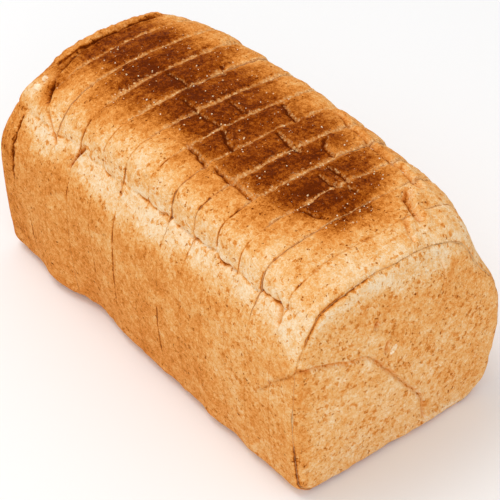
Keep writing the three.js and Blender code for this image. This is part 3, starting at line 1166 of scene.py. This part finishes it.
def ramp(tree, value, stops):
    """A colour ramp through these places and colours"""
    made = add(tree, "ValToRGB", {"Fac": value})
    bar = made.color_ramp.elements
    while len(bar) < len(stops):
        bar.new(0.5)
    for element, (place, colour) in zip(bar, stops):
        element.position = place
        element.color = linear(*colour)
    return made.outputs["Color"]


# %% Pattern helpers
def noise(tree, where, size, detail=3, rough=0.55):
    """Soft noise whose lumps are about this many millimetres across"""
    inputs = {"Vector": where, "Scale": 1 / (size * MM), "Detail": detail, "Roughness": rough}
    return add(tree, "TexNoise", inputs).outputs["Fac"]


def flecks(tree, where, spacing, largest, share, edge=0.5):
    """Scattered flecks: spacing and largest radius in mm, and the share of spots with a fleck"""
    cells = add(tree, "TexVoronoi", {"Vector": where, "Scale": 1 / (spacing * MM)})
    pick = add(tree, "SeparateColor", {"Color": cells.outputs["Color"]}).outputs["Red"]
    radius = ranged(tree, pick, 1 - share, 1, 0.0, largest / spacing)
    fade = maths(tree, "SUBTRACT", plus(tree, radius, 0.0001), times(tree, radius, edge))
    inside = maths(tree, "SUBTRACT", radius, cells.outputs["Distance"])
    return maths(tree, "DIVIDE", inside, fade, clamp=True)


print("mid brown mixes as", [round(c, 3) for c in linear(172, 90, 20)])


# %% [markdown]
# ## The baked crust
# Wholemeal crust is never one colour. Its tan is mottled, bran shows in it as flecks of a darker
# brown, and tiny bubbles have burst and left pits, which are dented and darkened with painted shade.
# All of these push one bake value up or down before a single ramp turns it to colour, so a fleck on
# pale dough is orange and a fleck on the brown top is almost black, as on the real loaf.

# %% Mix the crust
BAKE_COLOURS = [
    (0.0, (252, 226, 190)),
    (0.14, (247, 207, 156)),
    (0.3, (241, 180, 108)),
    (0.46, (230, 147, 68)),
    (0.6, (208, 124, 48)),
    (0.74, (172, 90, 20)),
    (0.88, (138, 59, 2)),
    (1.0, (98, 35, 0)),
]
TORN_COLOURS = [(0.32, (176, 104, 46)), (0.5, (212, 146, 82)), (0.66, (240, 196, 138))]
SPECK_COLOUR = (226, 178, 134)
# Flecks of bran: spacing, largest radius, share of spots, where their edge starts and their push
BRAN = [(3.2, 1.5, 0.75, 0.8, 0.24), (1.7, 0.65, 0.7, 0.75, 0.19)]
# Size of the wobble that bends the flecks' edges, in millimetres and in noise lumps a metre
WOBBLE, WOBBLE_SCALE = 4 * MM, 600.0
# How strongly the dry crust reflects, and in what tint
SHEEN, SHEEN_TINT = 0.04, (1.0, 0.68, 0.4, 1)


def crust_finish(name, stretch, pit_share):
    """Crust material: stretch draws its pits out, and pit_share of its spots have one"""
    finish, tree, inputs = blank_finish(name)
    where = add(tree, "TexCoord").outputs["Object"]
    wobble = add(tree, "TexNoise", {"Vector": where, "Scale": WOBBLE_SCALE, "Detail": 2.0})
    wobble = wobble.outputs["Color"]
    spread = add(tree, "VectorMath", {0: wobble, 1: (WOBBLE,) * 3}, operation="MULTIPLY")
    bent = add(tree, "VectorMath", {0: where, 1: spread.outputs[0]}, operation="ADD").outputs[0]
    drawn = add(tree, "Mapping", {"Vector": bent, "Scale": stretch}).outputs["Vector"]
    bake = add(tree, "Attribute", attribute_name="bake").outputs["Fac"]
    torn = add(tree, "Attribute", attribute_name="torn").outputs["Fac"]
    brown = ranged(tree, bake, 0.55, 0.8)

    mottled = bake
    for at, size, push in ((where, 12, 0.05), (where, 3.2, 0.07), (bent, 1.1, 0.13)):
        mottle = ranged(tree, noise(tree, at, size, rough=0.6), 0.3, 0.7, -push, push)
        mottled = plus(tree, mottled, mottle)
    bran = plus(tree, *(times(tree, flecks(tree, bent, *sizes), push) for *sizes, push in BRAN))
    bran = times(tree, bran, ranged(tree, bake, 0.5, 0.2, 0.4, 1.0))
    pits = flecks(tree, drawn, 1.7, 0.62, pit_share)
    # The bran is the crust's own colour, and the darkening of the pits is painted shade in their
    # dents
    bran_and_pit_shade = plus(tree, bran, times(tree, pits, 0.3))
    colour = ramp(tree, plus(tree, mottled, bran_and_pit_shade), BAKE_COLOURS)

    specks = times(tree, flecks(tree, bent, 2.2, 0.4, 0.3), brown)
    colour = mixed(tree, times(tree, specks, 0.45), colour, linear(*SPECK_COLOUR))
    ragged = ranged(tree, noise(tree, where, 1.3, rough=0.6), 0.3, 0.7, -0.35, 0.35)
    open_crumb = ranged(tree, plus(tree, torn, ragged), 0.4, 0.95)
    torn_colour = ramp(tree, noise(tree, where, 1.5, rough=0.6), TORN_COLOURS)
    colour = mixed(tree, open_crumb, colour, torn_colour)
    tree.links.new(colour, inputs["Base Color"])

    grain = ranged(tree, noise(tree, where, 0.9, rough=0.65), 0, 1, 0, 0.9)
    skin = plus(tree, grain, noise(tree, where, 3.0, rough=0.6))
    skin = plus(tree, skin, times(tree, pits, -0.8), times(tree, specks, 0.5))
    bump = add(tree, "Bump", {"Height": skin, "Strength": 0.7, "Distance": 0.0008})
    tree.links.new(bump.outputs["Normal"], inputs["Normal"])
    tree.links.new(ranged(tree, bake, 0.55, 0.9, 0.8, 0.65), inputs["Roughness"])
    inputs["Specular IOR Level"].default_value = SHEEN
    inputs["Specular Tint"].default_value = SHEEN_TINT
    return finish


slice_crust = crust_finish("baked crust", (1, 1, 1), 0.25)
heel_crust = crust_finish("end crust", (1, 1, 0.5), 0.9)
print(len(slice_crust.node_tree.nodes), "nodes in the crust")

# %% [markdown]
# ## The crumb of the cut faces
# Inside, the bread is a pale open sponge. The cut faces stand a hair apart and hardly show, yet a
# slice that is lifted out should look like bread, so they get pores and specks of bran.

# %% Mix the crumb
CRUMB_COLOURS = [(0.0, (140, 80, 34)), (0.3, (192, 134, 76)), (0.6, (224, 180, 124))]


def crumb_finish():
    """Crumb material, with pores of two sizes and flecks of bran"""
    finish, tree, inputs = blank_finish("crumb")
    where = add(tree, "TexCoord").outputs["Object"]
    pores = plus(tree, flecks(tree, where, 2.6, 1.0, 0.6), flecks(tree, where, 1.2, 0.5, 0.7))
    bran = flecks(tree, where, 3.4, 0.5, 0.5)
    tone = plus(tree, noise(tree, where, 4), times(tree, pores, -0.3), times(tree, bran, -0.5))
    tree.links.new(ramp(tree, tone, CRUMB_COLOURS), inputs["Base Color"])
    bump = add(tree, "Bump", {"Height": tone, "Strength": 0.6, "Distance": 0.0008})
    tree.links.new(bump.outputs["Normal"], inputs["Normal"])
    inputs["Roughness"].default_value = 0.9
    return finish


crumb = crumb_finish()
for name, piece in pieces.items():
    piece.data.materials.append(slice_crust if name in SLICES else heel_crust)
    piece.data.materials.append(crumb)
print("crust and crumb on", len(pieces), "pieces")

# %% Mix the loose crumbs
LOOSE_COLOURS = [(0.3, (206, 146, 90)), (0.45, (240, 202, 152)), (0.58, (252, 232, 200))]

loose, tree, inputs = blank_finish("loose crumbs")
tone = noise(tree, add(tree, "TexCoord").outputs["Object"], 1.6, 3, 0.7)
tree.links.new(ramp(tree, tone, LOOSE_COLOURS), inputs["Base Color"])
inputs["Roughness"].default_value = 0.9
inputs["Specular IOR Level"].default_value = 0.05
for piece in (loose_crumbs, stuck_bits):
    piece.data.materials.append(loose)
print("finishes:", [finish.name for finish in bpy.data.materials])
